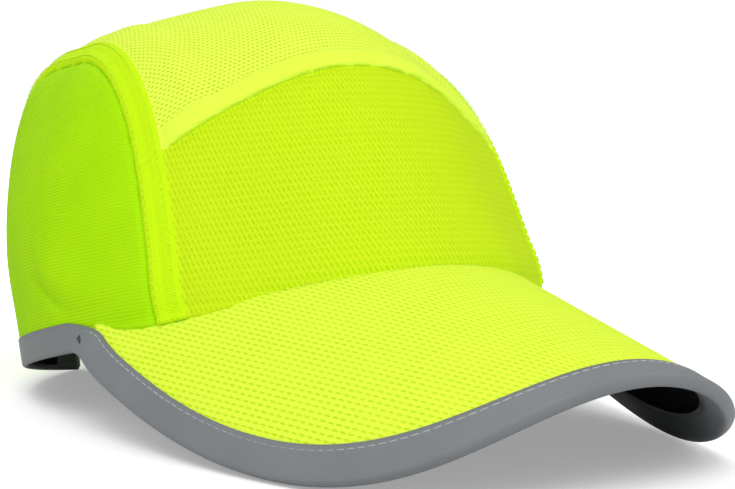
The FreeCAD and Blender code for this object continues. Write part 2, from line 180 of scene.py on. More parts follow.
class ReliefSizes(bpy.types.PropertyGroup):
    seam_ridge: length("Side ridge", 3.4, "How far the cloth stands out along the side seams")
    front_ridge: length("Front ridge", 0.6, "How far the cloth stands out along the front seam")
    ridge_reach: length("Ridge reach", 15, "Half width of the ridges")
    hollow: length("Hollow", 1.3, "How far the side cloth sinks in behind its seam")
    hollow_place: length("Hollow place", 13, "Side seam to the hollow")
    band_rise: length("Band rise", 0.7, "How far the folded band stands out")
    band_groove: length("Band groove", 0.45, "Depth of the line along the band's middle")
    seam_groove: length("Seam groove", 0.9, "Depth of the side seam")
    band_edge: length("Band edge", 0.35, "Depth of the line beyond the band")
    crest_rise: length("Crest rise", 0.9, "How far the top's second fold stands out")
    crest_groove: length("Crest groove", 0.5, "Depth of the line beyond the second fold")
    fold_rise: length("Fold rise", 0.85, "How far the front fold stands out")
    fold_groove: length("Fold groove", 1.1, "Depth of the front seam")
    fullness: length("Fullness", 0.7, "How far the cloth swells over the visor")
    crease: length("Crease", 1.0, "Depth of the crease at the visor")
    slack: length("Slack", 0.35, "Height of the cloth's soft waves")


class VisorSizes(bpy.types.PropertyGroup):
    seat: length("Seat", 11.2, "Height of the visor's root above the hem")
    pitch: degrees("Pitch", 24.4, "Slope below the hem's plane")
    reach: length("Length", 85.9, "Root to tip")
    half_width: length("Half width", 93.4, "Middle to edge along the curve")
    widest: length("Widest", 37.4, "Widest station behind the root")
    tail: length("Tail", 58, "End of the visor behind the root")
    tuck: length("Tuck", 3.4, "How far the edge turns in at the tail")
    outline: ratio("Outline", 2.36, "Exponent of the outline")
    radius: length("Radius", 86.7, "Arch at the root")
    taper: ratio("Taper", 0.369, "Loss of radius for each unit of length")
    straight: ratio("Straight", 0.16, "Share of each side's outline that runs straight to the tail")
    tape: length("Tape", 8.3, "Width of the edge tape")
    hem_tape: length("Hem tape", 7.6, "Height of the tape on the hem")


class CapColours(bpy.types.PropertyGroup):
    crown: shade("Crown", (0.59, 0.80, 0.011), "Front cloth")
    top: shade("Top", (0.76, 0.96, 0.08), "Top mesh")
    side: shade("Side", (0.42, 0.79, 0.004), "Side cloth")
    band: shade("Band", (0.60, 0.90, 0.008), "Folded bands along the side seams")
    visor: shade("Visor", (0.76, 0.95, 0.06), "Visor cover")
    tape: shade("Tape", (0.195, 0.208, 0.22), "Reflective edge tape")
    lining: shade("Lining", (0.005, 0.005, 0.005), "Under cover and sweatband")
    shell: shade("Shell", (0.035, 0.036, 0.040), "Hard shell and buckle")


def crown_sizes():
    return bpy.context.scene.cap_crown


def relief_sizes():
    return bpy.context.scene.cap_relief


def visor_sizes():
    return bpy.context.scene.cap_visor


def cap_colours():
    return bpy.context.scene.cap_colours


def stand(point):
    """Turns a point from the hem's frame in millimetres to its place on the table in metres."""
    turn = Matrix.Rotation(math.radians(-CAP_TILT), 3, "X")
    return (turn @ Vector(point) + CAP_SEAT) * MM


def crown_point(turn, height, inset=0.0):
    """Crown surface; turn is 0 at the front and grows towards the wearer's left."""
    c = crown_sizes()
    ahead = math.cos(turn)
    aside = abs(math.sin(turn))
    front = ahead > 0
    reach = (c.front_reach if front else c.rear_reach) - inset
    power = 2 if front else c.rear_round
    spread = ((aside / (c.half_width - inset)) ** power + (abs(ahead) / reach) ** power) ** (1 / power)
    roll = c.top_side + ((c.top_front if front else c.top_rear) - c.top_side) * ahead ** 2
    risen = min(max(height, 0) / (c.height - inset), 1)
    out = (1 - risen ** c.wall_rise) ** (1 / roll) / spread
    if front:
        out *= 1 - c.front_pinch * math.sin(2 * turn) ** 2
        fade = max(0, 1 - height / c.flare_height)
        out *= 1 + c.front_flare / c.front_reach * ahead ** 2 * fade ** 2
    return Vector((out * math.sin(turn), c.lean * height - out * ahead, height))


def visor_frame():
    """Place and slope of the visor's root in the hem's frame."""
    v = visor_sizes()
    return Matrix.Translation(crown_point(0, v.seat)) @ Matrix.Rotation(v.pitch, 4, "X")


def visor_point(arc, ahead, depth=0.0):
    """Point of the visor's sheet; depth is measured down from its top surface."""
    v = visor_sizes()
    radius = v.radius - v.taper * ahead
    lower = radius - depth
    angle = arc / radius
    return visor_frame() @ Vector((lower * math.sin(angle), -ahead, lower * math.cos(angle) - radius))


def on_visor(point):
    """Arc, distance ahead and height of a point over the visor's sheet."""
    v = visor_sizes()
    local = visor_frame().inverted() @ Vector(point)
    radius = v.radius + v.taper * local.y
    above = math.hypot(local.x, local.z + radius) - radius
    return radius * math.atan2(local.x, local.z + radius), -local.y, above


def visor_edge(place, inset=0.0):
    """Outline point in arc and distance ahead; place runs from -1 at the right tail to 1 at the left."""
    v = visor_sizes()
    across = v.half_width - inset
    side = 1 if place > 0 else -1
    along = abs(place)
    if along > 1 - v.straight:
        run = (along - 1 + v.straight) / v.straight
        return side * (across - v.tuck * run ** 2), -v.widest - (v.tail - v.widest) * run
    angle = along / (1 - v.straight) * math.pi / 2
    power = 2 / v.outline
    ahead = (v.reach - inset + v.widest) * max(math.cos(angle), 0) ** power - v.widest
    return side * across * math.sin(angle) ** power, ahead


def seam_height(turn):
    """Height at which the crown's cloth starts: on the visor, at the hem or over the rear opening."""
    c = crown_sizes()
    base = crown_point(turn, 0)
    if base.y > 0:
        if abs(base.x) < c.arch_half_width:
            rise = math.sqrt(max(c.arch_half_width ** 2 - base.x ** 2, 0))
            return c.arch_height - c.arch_half_width + rise
        return 0.0
    low, high = -6.0, 45.0
    for _ in range(SEARCH_STEPS):
        middle = (low + high) / 2
        if on_visor(crown_point(turn, middle))[2] > 0:
            high = middle
        else:
            low = middle
    ahead = on_visor(crown_point(turn, high))[1]
    fade = min(max((ahead + visor_sizes().tail + 4) / 8, 0), 1)
    return max(high, 0) * fade


def side_distance(point):
    """Distance beyond the nearer side seam's plane; negative towards the middle."""
    c = crown_sizes()
    square = math.sqrt(1 + c.seam_slope ** 2 + c.seam_draw ** 2)
    return (abs(point[0]) + c.seam_slope * point[1] + c.seam_draw * point[2] - c.side_seam) / square


def front_distance(point):
    """Distance ahead of the front seam's plane."""
    c = crown_sizes()
    return -(math.sin(c.front_angle) * point[1] + math.cos(c.front_angle) * (point[2] - c.front_seam))


def bell(value, width):
    """Smooth bump that is 1 at 0."""
    return math.exp(-(value / width) ** 2)


def step(value, low, high):
    """Smooth rise from 0 to 1."""
    part = min(max((value - low) / (high - low), 0), 1)
    return part * part * (3 - 2 * part)


def seam_relief(beside, before, height, y):
    """Ridges along the seams, the hollow behind the side seam and the folded bands."""
    c = crown_sizes()
    r = relief_sizes()
    low_fade = max(step(height, 10, 38), step(-y, 8, 34))
    out = r.seam_ridge * (0.8 + 0.5 * step(y, -20, 60)) * bell(beside + 3, r.ridge_reach) * low_fade
    out += r.front_ridge * bell(before, r.ridge_reach) * step(-beside, -4, 16)
    out -= r.hollow * bell(beside - r.hollow_place, 8) * step(height, 20, 60)
    band = step(-beside, -0.2, 0.7) * (1 - step(-beside, c.band_width - 0.4, c.band_width + 0.6))
    out += r.band_rise * band - r.band_groove * bell(beside + c.band_width / 2, 0.7) * band
    out -= r.seam_groove * bell(beside, 0.7) + r.band_edge * bell(beside + c.band_width + 0.6, 0.8)
    crest = r.crest_rise * bell(beside + 15, 4) - r.crest_groove * bell(beside + 20.5, 1.2)
    out += step(-before, 0, 8) * crest
    fold = step(-before, -0.1, 0.6) * (1 - step(-before, 5.6, 7.4))
    middle = step(-beside, c.band_width, c.band_width + 3)
    return out + middle * (r.fold_rise * fold - r.fold_groove * bell(before - 0.5, 0.9))


def relief(point):
    """How far the sewn cloth stands out from the plain crown."""
    r = relief_sizes()
    x, y, height = point
    out = seam_relief(side_distance(point), front_distance(point), height, y)
    if y < 10:
        above = on_visor(point)[2]
        out += r.fullness * bell(above - 5, 3.5) - r.crease * bell(above, 1.1)
    out += r.slack * math.sin(x * 0.11 + height * 0.05) * math.sin(y * 0.09 - height * 0.07)
    return out * max(step(height, 7.5, 14), step(-y, 8, 30))


class Value:
    """Shader socket on which Python's arithmetic adds Math nodes."""

    def __init__(self, finish, socket):
        self.finish = finish
        self.socket = socket

    def __add__(self, other):
        return self.finish.math("ADD", self, other)

    __radd__ = __add__

    def __sub__(self, other):
        return self.finish.math("SUBTRACT", self, other)

    def __rsub__(self, other):
        return self.finish.math("SUBTRACT", other, self)

    def __mul__(self, other):
        return self.finish.math("MULTIPLY", self, other)

    __rmul__ = __mul__

    def __truediv__(self, other):
        return self.finish.math("DIVIDE", self, other)

    def __rtruediv__(self, other):
        return self.finish.math("DIVIDE", other, self)


class Finish:
    """Material under construction, with its shader and one method for any node."""

    def __init__(self, name, colour, roughness, specular=0.3):
        self.material = bpy.data.materials.new(name)
        self.material.use_nodes = True
        self.tree = self.material.node_tree
        self.shader = self.tree.nodes["Principled BSDF"]
        self.shader.inputs["Base Color"].default_value = (*colour, 1)
        self.shader.inputs["Roughness"].default_value = roughness
        self.shader.inputs["Specular IOR Level"].default_value = specular
        self.material.diffuse_color = (*colour, 1)

    def node(self, kind, settings=(), inputs=(), output=0):
        """New node with its settings, inputs set or linked, and one output as a value."""
        made = self.tree.nodes.new(kind)
        for key, value in dict(settings).items():
            setattr(made, key, value)
        for key, value in dict(inputs).items():
            if isinstance(value, Value):
                self.tree.links.new(value.socket, made.inputs[key])
            else:
                made.inputs[key].default_value = value
        return Value(self, made.outputs[output])

    def math(self, operation, *values):
        return self.node("ShaderNodeMath", {"operation": operation}, dict(enumerate(values)))

    def limit(self, value):
        """Value kept between 0 and 1."""
        return self.node("ShaderNodeMath", {"operation": "ADD", "use_clamp": True}, {0: value, 1: 0.0})

    def wave(self, value, pitch):
        """Sine wave of a pitch, between 0 and 1."""
        return self.math("SINE", value * (2 * math.pi / pitch)) * 0.5 + 0.5

    def place(self):
        """Object coordinates in millimetres as three values."""
        coordinates = self.node("ShaderNodeTexCoord", output="Object")
        split = self.tree.nodes.new("ShaderNodeSeparateXYZ")
        self.tree.links.new(coordinates.socket, split.inputs[0])
        return [Value(self, split.outputs[axis]) * 1000 for axis in range(3)]

    def weave(self):
        """The piece's own map in millimetres as two values."""
        mapped = self.node("ShaderNodeUVMap", {"uv_map": "weave"})
        split = self.tree.nodes.new("ShaderNodeSeparateXYZ")
        self.tree.links.new(mapped.socket, split.inputs[0])
        return [Value(self, split.outputs[axis]) for axis in range(2)]

    def noise(self, scale, detail):
        coordinates = self.node("ShaderNodeTexCoord", output="Object")
        return self.node("ShaderNodeTexNoise", {}, {"Vector": coordinates, "Scale": scale, "Detail": detail})

    def colour(self, mask, first, second):
        """Colour of the surface, mixed from two by a mask."""
        ends = {0: mask, 6: (*first, 1), 7: (*second, 1)}
        mixed = self.node("ShaderNodeMix", {"data_type": "RGBA"}, ends, 2)
        self.tree.links.new(mixed.socket, self.shader.inputs["Base Color"])
        return mixed

    def bump(self, height, strength, distance):
        """Fine relief, its distance in metres."""
        values = {"Height": height, "Strength": strength, "Distance": distance}
        bumped = self.node("ShaderNodeBump", {}, values)
        self.tree.links.new(bumped.socket, self.shader.inputs["Normal"])

    def rough(self, value):
        self.tree.links.new(value.socket, self.shader.inputs["Roughness"])

    # Painted light: the surface glows in its own colour, added light that no lamp gives.
    def glow(self, mixed, strength):
        self.tree.links.new(mixed.socket, self.shader.inputs["Emission Color"])
        self.shader.inputs["Emission Strength"].default_value = strength


def scaled(colour, share):
    """Colour made darker or lighter."""
    return tuple(part * share for part in colour)


def knit(name, colour, pitch, dash, slant, deep, glow):
    """Open knit: staggered slanted eyelets between bright yarns."""
    finish = Finish(name, colour, 0.8, specular=0.06)
    u, v = finish.weave()
    row = finish.math("FLOOR", v / pitch[1])
    shift = finish.math("MODULO", row, 2.0) * 0.5
    fu = (finish.math("FRACT", u / pitch[0] + shift) - 0.5) * pitch[0]
    fv = (finish.math("FRACT", v / pitch[1]) - 0.5) * pitch[1]
    turn = math.radians(slant)
    along = (fu * math.cos(turn) + fv * math.sin(turn)) / dash[0]
    across = (fv * math.cos(turn) - fu * math.sin(turn)) / dash[1]
    reach = along * along + across * across
    eyelet = finish.limit((1.5 - reach) / 1.1)
    cloud = finish.noise(90, 3)
    shadow = finish.limit(eyelet * (cloud + 0.35))
    mixed = finish.colour(shadow, colour, deep)
    yarn = finish.math("SINE", u * (2 * math.pi / 0.55)) * 0.18
    finish.bump(1 - eyelet + yarn, 0.5, 0.0005)
    finish.rough(0.7 + cloud * 0.2)
    # Painted light: the knit's colour glows a little.
    finish.glow(mixed, glow)
    return finish.material


def rib(name, colour, pitch, deep, glow):
    """Fine rib knit: rows of loops running level around the cap."""
    finish = Finish(name, colour, 0.8, specular=0.05)
    u, v = finish.weave()
    sway = finish.noise(60, 2)
    rows = finish.wave(v + sway * 0.8, pitch)
    loops = finish.wave(u + rows * 0.3, 0.8)
    shadow = finish.limit(rows * 0.28 + loops * 0.12 + sway * 0.4 - 0.16)
    mixed = finish.colour(shadow, colour, deep)
    finish.bump(1 - rows * 0.8 + loops * 0.2, 0.4, 0.0003)
    # Painted light: the rib's colour glows a little.
    finish.glow(mixed, glow)
    return finish.material


def tape_finish(name, colour):
    """Glass-bead reflective tape: fine grain, soft scuffs and a dull sheen."""
    finish = Finish(name, colour, 0.5)
    grain = finish.noise(2600, 2)
    cloud = finish.noise(45, 3)
    finish.colour(finish.limit(grain * 0.5 + cloud * 0.6 - 0.1), scaled(colour, 0.82), scaled(colour, 1.22))
    finish.rough(0.42 + cloud * 0.2)
    finish.bump(grain + cloud * 0.6, 0.12, 0.0002)
    return finish.material


def cloth_finish(name, colour, pitch, glow=0.0):
    """Plain woven or brushed cloth on object coordinates."""
    finish = Finish(name, colour, 0.9, specular=0.1)
    x, y, z = finish.place()
    warp = finish.wave(x + y, pitch)
    weft = finish.wave(z - y * 0.3, pitch)
    cloud = finish.noise(220, 3)
    mask = finish.limit(warp * weft * 0.6 + cloud * 0.4)
    mixed = finish.colour(mask, scaled(colour, 0.7), scaled(colour, 1.35))
    finish.bump(warp * weft + cloud, 0.3, 0.0003)
    # Painted light: when a glow is given, the cloth's colour glows.
    if glow:
        finish.glow(mixed, glow)
    return finish.material


def plastic_finish(name, colour, grain_scale, roughness, metallic=0.0):
    """Moulded plastic or drawn metal with a fine texture."""
    finish = Finish(name, colour, roughness)
    finish.shader.inputs["Metallic"].default_value = metallic
    grain = finish.noise(grain_scale, 2)
    cloud = finish.noise(30, 2)
    finish.colour(finish.limit(cloud), scaled(colour, 0.85), scaled(colour, 1.15))
    finish.rough(roughness - 0.08 + cloud * 0.16)
    finish.bump(grain, 0.15, 0.0002)
    return finish.material


def foam_finish(name, colour):
    """Closed-cell foam: small pits over a soft mottled face."""
    finish = Finish(name, colour, 0.95)
    coordinates = finish.node("ShaderNodeTexCoord", output="Object")
    cells = finish.node("ShaderNodeTexVoronoi", {}, {"Vector": coordinates, "Scale": 900.0})
    cloud = finish.noise(120, 2)
    finish.colour(finish.limit(cells * 0.8 + cloud * 0.3), scaled(colour, 0.6), scaled(colour, 1.5))
    finish.bump(cells, 0.35, 0.0004)
    return finish.material


def finish_piece(name, mesh, material, node_names=(), body="cap"):
    """Smooth object on a body and a material slot, which may stand for some nodes."""
    if not mesh.polygons:
        raise RuntimeError(name + " came out empty")
    made = bpy.data.objects.new(name, mesh)
    bpy.context.scene.collection.objects.link(made)
    if not mesh.materials:
        mesh.materials.append(material)
    mesh.shade_smooth()
    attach(made, body)
    if node_names:
        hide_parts(*node_names)
    return made


def grid_faces(rows, columns):
    """Quads of a grid whose points run row by row."""
    corners = (0, 1, columns + 1, columns)
    return [tuple(row * columns + column + corner for corner in corners)
            for row in range(rows - 1) for column in range(columns - 1)]


def slab_piece(name, outer, inner, material, slot, node_names, body="cap"):
    """Closed piece between two equal grids of points in the hem's frame."""
    rows, columns = len(outer), len(outer[0])
    made = bmesh.new()
    layers = []
    for grid in (outer, inner):
        layers.append([[made.verts.new(stand(point)) for point in line] for line in grid])
    top, low = layers
    for r in range(rows - 1):
        for c in range(columns - 1):
            made.faces.new((top[r][c], top[r][c + 1], top[r + 1][c + 1], top[r + 1][c]))
            made.faces.new((low[r][c], low[r + 1][c], low[r + 1][c + 1], low[r][c + 1]))
    rim = [(r, 0) for r in range(rows)] + [(rows - 1, c) for c in range(1, columns)]
    rim += [(r, columns - 1) for r in range(rows - 2, -1, -1)] + [(0, c) for c in range(columns - 2, 0, -1)]
    for (r, c), (nr, nc) in zip(rim, rim[1:] + rim[:1]):
        made.faces.new((top[r][c], top[nr][nc], low[nr][nc], low[r][c]))
    bmesh.ops.recalc_face_normals(made, faces=made.faces)
    mesh = bpy.data.meshes.new(name)
    made.to_mesh(mesh)
    made.free()
    return finish_piece(name, mesh, material, node_names, body)


def crown_turns(count):
    """Directions around the crown from the rear middle, with columns at the rear opening's ends."""
    c = crown_sizes()
    turns = [-math.pi + 2 * math.pi * index / count for index in range(count)]
    share = 1 - (c.arch_half_width / c.half_width) ** c.rear_round
    back = c.rear_reach * share ** (1 / c.rear_round)
    corner = math.atan2(c.arch_half_width, -back)
    for nudge in (-0.012, -0.004, 0.0, 0.004, 0.012):
        turns += [corner + nudge, -corner - nudge]
    return sorted(turns)


def crown_grid():
    """Plain crown as one bmesh in the hem's frame, from its lower edge to the top."""
    c = crown_sizes()
    made = bmesh.new()
    columns = []
    for turn in crown_turns(CROWN_COLUMNS):
        low = seam_height(turn) - c.tuck * step(math.cos(turn), 0.1, 0.5)
        column = []
        for row in range(CROWN_ROWS):
            rise = math.sin(row / CROWN_ROWS * math.pi / 2) ** 1.25
            column.append(made.verts.new(crown_point(turn, low + (c.height - low) * rise)))
        columns.append(column)
    apex = made.verts.new((0, c.lean * c.height, c.height))
    for index, column in enumerate(columns):
        beside = columns[(index + 1) % len(columns)]
        for row in range(CROWN_ROWS - 1):
            made.faces.new((column[row], beside[row], beside[row + 1], column[row + 1]))
        made.faces.new((column[-1], beside[-1], apex))
    return made


def seam_planes():
    """Planes along the seams and beside them, where the cloth needs an edge."""
    c = crown_sizes()
    planes = []
    for side in SIDES:
        normal = Vector((side, c.seam_slope, c.seam_draw)).normalized()
        for shift in (1.2, 0.6, 0, -0.5, -1.1, -2.6, -3.25, -3.9, -6.1, -6.5, -7.1, -8):
            planes.append((Vector((side * c.side_seam, 0, 0)) + normal * shift, normal))
    normal = Vector((0, -math.sin(c.front_angle), -math.cos(c.front_angle)))
    for shift in (1.6, 0.8, 0.2, 0, -0.6, -1.2, -5.2, -6.2):
        planes.append((Vector((0, 0, c.front_seam)) + normal * shift, normal))
    return planes


def crown_base():
    """Crown cut along its seams and raised into relief, with each corner's place before that."""
    made = crown_grid()
    for point, normal in seam_planes():
        geometry = made.verts[:] + made.edges[:] + made.faces[:]
        bmesh.ops.bisect_plane(made, geom=geometry, dist=1e-4, plane_co=point, plane_no=normal)
    made.normal_update()
    moves = [(vert, vert.normal.copy() * relief(vert.co)) for vert in made.verts]
    marks = {vert: vert.co.copy() for vert, _ in moves}
    for vert, move in moves:
        vert.co += move
    return made, marks


def face_middle(face, marks):
    return sum((marks[vert] for vert in face.verts), Vector()) / len(face.verts)


def panel_of(point):
    """Name of the crown panel that a point lies on."""
    beside = side_distance(point)
    if beside > 0:
        return "side_right" if point[0] < 0 else "side_left"
    return "front" if front_distance(point) > 0 else "top"


def weave_place(panel, point, on_band):
    """Place on a panel's cloth in millimetres."""
    c = crown_sizes()
    if on_band:
        along = math.atan2(point.z - CROWN_MIDDLE.z, CROWN_MIDDLE.y - point.y)
        return side_distance(point), along * BAND_RADIUS
    turn = math.atan2(point.x, -(point.y - c.lean * point.z))
    if panel == "top":
        back = math.atan2(point.y - 12, point.z - 20)
        return point.x, back * TOP_RADIUS
    if panel == "front":
        return turn * FRONT_RADIUS, point.z * FRONT_STRETCH
    return turn * SIDE_RADIUS, point.z


def split_panels(made, marks):
    """Meshes of the four crown panels, each with its own map and its part of the folded bands."""
    c = crown_sizes()
    groups = {}
    for face in made.faces:
        groups.setdefault(panel_of(face_middle(face, marks)), []).append(face)
    meshes = {}
    for panel, faces in groups.items():
        part = bmesh.new()
        known = {}
        layer = part.loops.layers.uv.new("weave")
        for face in faces:
            corners = []
            for vert in face.verts:
                if vert not in known:
                    known[vert] = part.verts.new(stand(vert.co))
                corners.append(known[vert])
            new = part.faces.new(corners)
            middle = face_middle(face, marks)
            on_band = -c.band_width < side_distance(middle) < 0
            on_fold = panel == "top" and not on_band and -c.fold_width < front_distance(middle) < 0
            new.material_index = 1 if on_band else 2 * int(on_fold)
            for loop, vert in zip(new.loops, face.verts):
                loop[layer].uv = weave_place(panel, marks[vert], on_band)
        part.normal_update()
        mesh = bpy.data.meshes.new("crown_" + panel)
        part.to_mesh(mesh)
        part.free()
        meshes[panel] = mesh
    return meshes


class CAP_OT_crown(bpy.types.Operator):
    """Build the crown's cloth panels with their folded seams"""
    bl_idname = "cap.crown"
    bl_label = "Crown panels"

    def execute(self, context):
        colours = cap_colours()
        base, marks = crown_base()
        meshes = split_panels(base, marks)
        base.free()
        finishes = {
            "front": knit("front_knit", tuple(colours.crown), pitch=(1.5, 2.5), dash=(1.0, 0.23), slant=-70,
                          deep=(0.42, 0.74, 0.0), glow=0.05),
            "top": knit("top_mesh", tuple(colours.top), pitch=(1.3, 1.9), dash=(0.46, 0.32), slant=-50,
                        deep=(0.44, 0.66, 0.02), glow=0.05),
            "side": rib("side_rib", tuple(colours.side), 0.95, (0.27, 0.62, 0.0), 0.04),
        }
        band = rib("band_rib", tuple(colours.band), 1.05, (0.42, 0.77, 0.0), 0.04)
        fold = rib("fold_rib", tuple(colours.top), 1.3, (0.60, 0.86, 0.03), 0.05)
        panels = {
            "front": ("front_panel", "crown_mesh"),
            "top": ("top_panel", "crown_mesh"),
            "side_right": ("side_panel_right", "crown_knit"),
            "side_left": ("side_panel_left", "crown_knit"),
        }
        for panel, mesh in meshes.items():
            node, slot = panels[panel]
            made = finish_piece("crown_" + panel, mesh, finishes[panel.split("_")[0]], [node])
            mesh.materials.append(band)
            mesh.materials.append(fold)
            wall = made.modifiers.new("cloth", "SOLIDIFY")
            wall.thickness = crown_sizes().cloth * MM
            wall.offset = -1
        return {"FINISHED"}


def visor_grid(rows=40, columns=150):
    """Places over the visor's sheet, as arc and distance ahead, from the crown's seam to the outline."""
    tail = visor_sizes().tail
    grid = [[] for _ in range(rows)]
    for column in range(columns):
        place = 2 * column / (columns - 1) - 1
        turn = VISOR_ROOT_TURN * place
        root_arc, root_ahead, _ = on_visor(crown_point(turn, seam_height(turn), 1.6))
        root_ahead = max(root_ahead, -tail)
        place *= COVER_END
        edge_arc, edge_ahead = visor_edge(place, COVER_INSET + 5 * step(abs(place), 0.88, COVER_END))
        for row, line in enumerate(grid):
            share = row / (rows - 1)
            arc = root_arc + (edge_arc - root_arc) * share
            line.append((arc, root_ahead + (edge_ahead - root_ahead) * share))
    return grid


def visor_sheet(name, depth, thick, material, slot, nodes):
    """Cloth cover of the visor, closed all round, with its map in millimetres."""
    grid = visor_grid()
    outer = [[visor_point(arc, ahead, depth) for arc, ahead in line] for line in grid]
    inner = [[visor_point(arc, ahead, depth + thick) for arc, ahead in line] for line in grid]
    made = slab_piece(name, outer, inner, material, slot, nodes)
    layer = made.data.uv_layers.new(name="weave")
    places = [place for line in grid for place in line]
    for loop in made.data.loops:
        layer.data[loop.index].uv = places[loop.vertex_index % len(places)]


class CAP_OT_visor(bpy.types.Operator):
    """Build the visor's upper and under covers"""
    bl_idname = "cap.visor"
    bl_label = "Visor covers"

    def execute(self, context):
        colours = cap_colours()
        upper = knit("visor_knit", tuple(colours.visor), pitch=(1.7, 2.5), dash=(1.0, 0.3), slant=72,
                     deep=(0.52, 0.82, 0.01), glow=0.05)
        visor_sheet("visor_cover", 0.0, COVER_THICK, upper, "visor_cloth", ["visor_top_cover"])
        lining = cloth_finish("under_cloth", tuple(colours.lining), 0.8)
        visor_sheet("visor_lining", VISOR_LOW - LINING_THICK, LINING_THICK, lining, "under_cloth",
                    ["visor_under_cover"])
        return {"FINISHED"}


def round_edge(count=7):
    """Angles of the tape's turn round the edge."""
    return [math.pi * index / (count - 1) for index in range(count)]


def visor_section(place):
    """Points across the tape on the visor, from its upper margin round the edge to its lower margin."""
    v = visor_sizes()
    points = []
    for share in (1.0, 0.72, 0.4, 0.15):
        points.append(visor_point(*visor_edge(place, v.tape * share), -SKIN))
    middle = VISOR_LOW / 2
    for swing in round_edge():
        arc, ahead = visor_edge(place, -0.6 * math.sin(swing))
        points.append(visor_point(arc, ahead, middle - (middle + SKIN) * math.cos(swing)))
    for share in (0.15, 0.4, 0.72, 1.0):
        points.append(visor_point(*visor_edge(place, v.tape * share), VISOR_LOW + SKIN))
    return points


def hem_section(turn):
    """Points across the tape on the hem, from its outer margin round the edge to its inner margin."""
    rise = visor_sizes().hem_tape
    points = [crown_point(turn, rise * share, -SKIN) for share in (1.0, 0.72, 0.4, 0.15)]
    for swing in round_edge():
        spot = crown_point(turn, 0, 0.55 - (0.55 + SKIN) * math.cos(swing))
        points.append(Vector((spot.x, spot.y, -0.7 * math.sin(swing))))
    return points + [crown_point(turn, rise * share, 1.45) for share in (0.15, 0.4, 0.72, 0.95)]


def bridge(first, before, second, after, count=7, pull=0.6):
    """Sections that lead smoothly from the end of one stretch of tape to the start of the next."""
    joined = []
    for index in range(1, count):
        t = index / count
        line = []
        for a, a0, b, b1 in zip(first, before, second, after):
            run = (b - a).length * pull
            leave = (a - a0).normalized() * run
            arrive = (b1 - b).normalized() * run
            line.append((2 * t ** 3 - 3 * t ** 2 + 1) * a + (t ** 3 - 2 * t ** 2 + t) * leave
                        + (3 * t ** 2 - 2 * t ** 3) * b + (t ** 3 - t ** 2) * arrive)
        joined.append(line)
    return joined


def tape_stations():
    """Sections along the whole tape: right hem, visor's edge, left hem."""
    c = crown_sizes()
    arch_turn = math.pi - math.asin(c.arch_half_width / c.rear_reach) - 0.02
    hem = [HEM_START + (arch_turn - HEM_START) * index / 60 for index in range(61)]
    right = [hem_section(-turn) for turn in reversed(hem)]
    left = [hem_section(turn) for turn in hem]
    edge = [visor_section(TAPE_END * (2 * index / 150 - 1)) for index in range(151)]
    right_bridge = bridge(right[-1], right[-2], edge[0], edge[1])
    left_bridge = bridge(edge[-1], edge[-2], left[0], left[1])
    return right + right_bridge + edge + left_bridge + left


def stitch_group():
    """Geometry Nodes tree that lays short stitches along a curve."""
    tree = bpy.data.node_groups.new("stitch_row", "GeometryNodeTree")
    interface = tree.interface
    interface.new_socket("Geometry", in_out="INPUT", socket_type="NodeSocketGeometry")
    for name, value in (("Pitch", 0.003), ("Length", 0.0022), ("Thickness", 0.00022)):
        socket = interface.new_socket(name, in_out="INPUT", socket_type="NodeSocketFloat")
        socket.default_value = value
    interface.new_socket("Thread", in_out="INPUT", socket_type="NodeSocketMaterial")
    interface.new_socket("Geometry", in_out="OUTPUT", socket_type="NodeSocketGeometry")
    nodes, links = tree.nodes, tree.links
    start = nodes.new("NodeGroupInput")
    end = nodes.new("NodeGroupOutput")
    resample = nodes.new("GeometryNodeResampleCurve")
    resample.mode = "LENGTH"
    links.new(start.outputs["Geometry"], resample.inputs["Curve"])
    links.new(start.outputs["Pitch"], resample.inputs["Length"])
    points = nodes.new("GeometryNodeCurveToPoints")
    points.mode = "EVALUATED"
    links.new(resample.outputs["Curve"], points.inputs["Curve"])
    thread = nodes.new("GeometryNodeMeshCylinder")
    thread.inputs["Vertices"].default_value = 6
    links.new(start.outputs["Thickness"], thread.inputs["Radius"])
    links.new(start.outputs["Length"], thread.inputs["Depth"])
    instance = nodes.new("GeometryNodeInstanceOnPoints")
    links.new(points.outputs["Points"], instance.inputs["Points"])
    links.new(thread.outputs["Mesh"], instance.inputs["Instance"])
    links.new(points.outputs["Rotation"], instance.inputs["Rotation"])
    realize = nodes.new("GeometryNodeRealizeInstances")
    links.new(instance.outputs["Instances"], realize.inputs["Geometry"])
    painted = nodes.new("GeometryNodeSetMaterial")
    links.new(realize.outputs["Geometry"], painted.inputs["Geometry"])
    links.new(start.outputs["Thread"], painted.inputs["Material"])
    links.new(painted.outputs["Geometry"], end.inputs["Geometry"])
    return tree


def stitch_row(name, lines, pitch, stitch, thickness, material):
    """Rows of stitches along lines of points in the hem's frame, turned into one plain mesh."""
    curve = bpy.data.curves.new(name + "_path", "CURVE")
    curve.dimensions = "3D"
    for line in lines:
        spline = curve.splines.new("POLY")
        spline.points.add(len(line) - 1)
        for point, spot in zip(spline.points, line):
            point.co = (*stand(spot), 1)
    path = bpy.data.objects.new(name + "_path", curve)
    bpy.context.scene.collection.objects.link(path)
    tree = bpy.data.node_groups.get("stitch_row") or stitch_group()
    rows = path.modifiers.new("stitches", "NODES")
    rows.node_group = tree
    values = {"Pitch": pitch * MM, "Length": stitch * MM, "Thickness": thickness * MM, "Thread": material}
    for item in tree.interface.items_tree:
        if item.in_out == "INPUT" and item.name in values:
            rows[item.identifier] = values[item.name]
    bpy.context.view_layer.update()
    evaluated = path.evaluated_get(bpy.context.evaluated_depsgraph_get())
    mesh = bpy.data.meshes.new_from_object(evaluated)
    path.modifiers.remove(rows)
    bpy.data.objects.remove(path)
    finish_piece(name, mesh, material)


